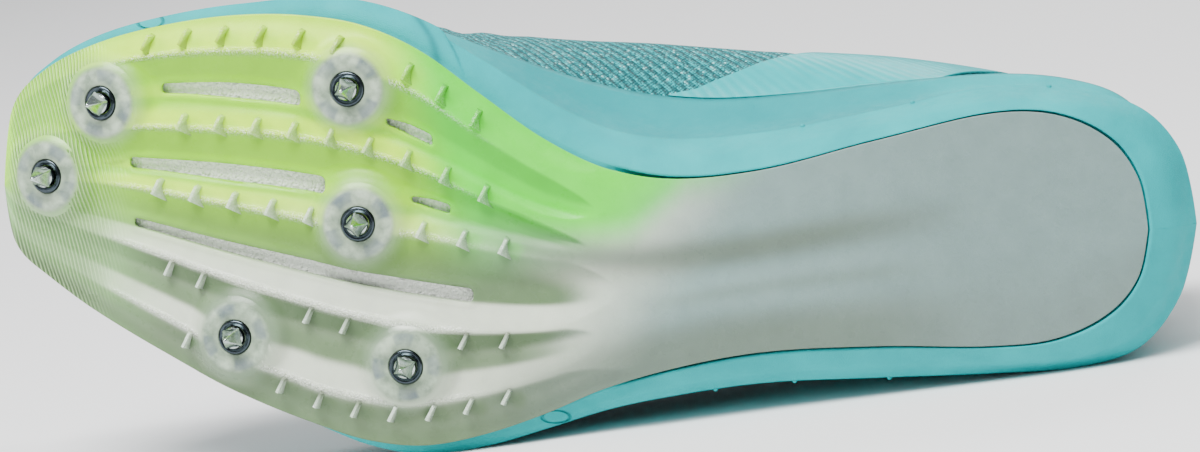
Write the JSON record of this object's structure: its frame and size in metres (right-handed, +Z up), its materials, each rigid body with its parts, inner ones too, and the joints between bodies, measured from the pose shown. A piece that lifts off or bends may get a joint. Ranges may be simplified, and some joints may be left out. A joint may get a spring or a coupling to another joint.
{
  "type": "track spike shoe",
  "caption": "Right track spike shoe lying on its outer side: translucent spike plate, foam midsole, hollow knit upper with tongue and lace, screw-in spikes.",
  "frame": {"origin": "middle of the bounding box on the floor that the shoe lies on", "axes": "+X from toe to heel, -Y the way the sole looks, +Z up, with the inner side of the shoe on top"},
  "size_m": [0.284, 0.0998, 0.1118],
  "materials": {
    "plate": "translucent moulded plate, yellow-green fading to milky grey",
    "board": "white textured board",
    "midsole": "smooth teal foam",
    "insole": "dark textile over foam",
    "upper": "teal knit",
    "tongue": "teal textile",
    "film": "smooth bonded teal film",
    "lace": "woven",
    "receptacle": "dark steel",
    "spike": "dark bright steel"
  },
  "bodies": {
    "root": {"plate": "plate", "board": "board", "midsole": "midsole", "insole": "insole", "upper": "upper", "tongue": "tongue", "saddle_inner": "film", "saddle_outer": "film", "eyestay": "film", "lace": "lace", "receptacle_1": "receptacle", "spike_1": "spike", "receptacle_2": "receptacle", "spike_2": "spike", "receptacle_3": "receptacle", "spike_3": "spike", "receptacle_4": "receptacle", "spike_4": "spike", "receptacle_5": "receptacle", "spike_5": "spike", "receptacle_6": "receptacle", "spike_6": "spike"}
  },
  "joints": []
}
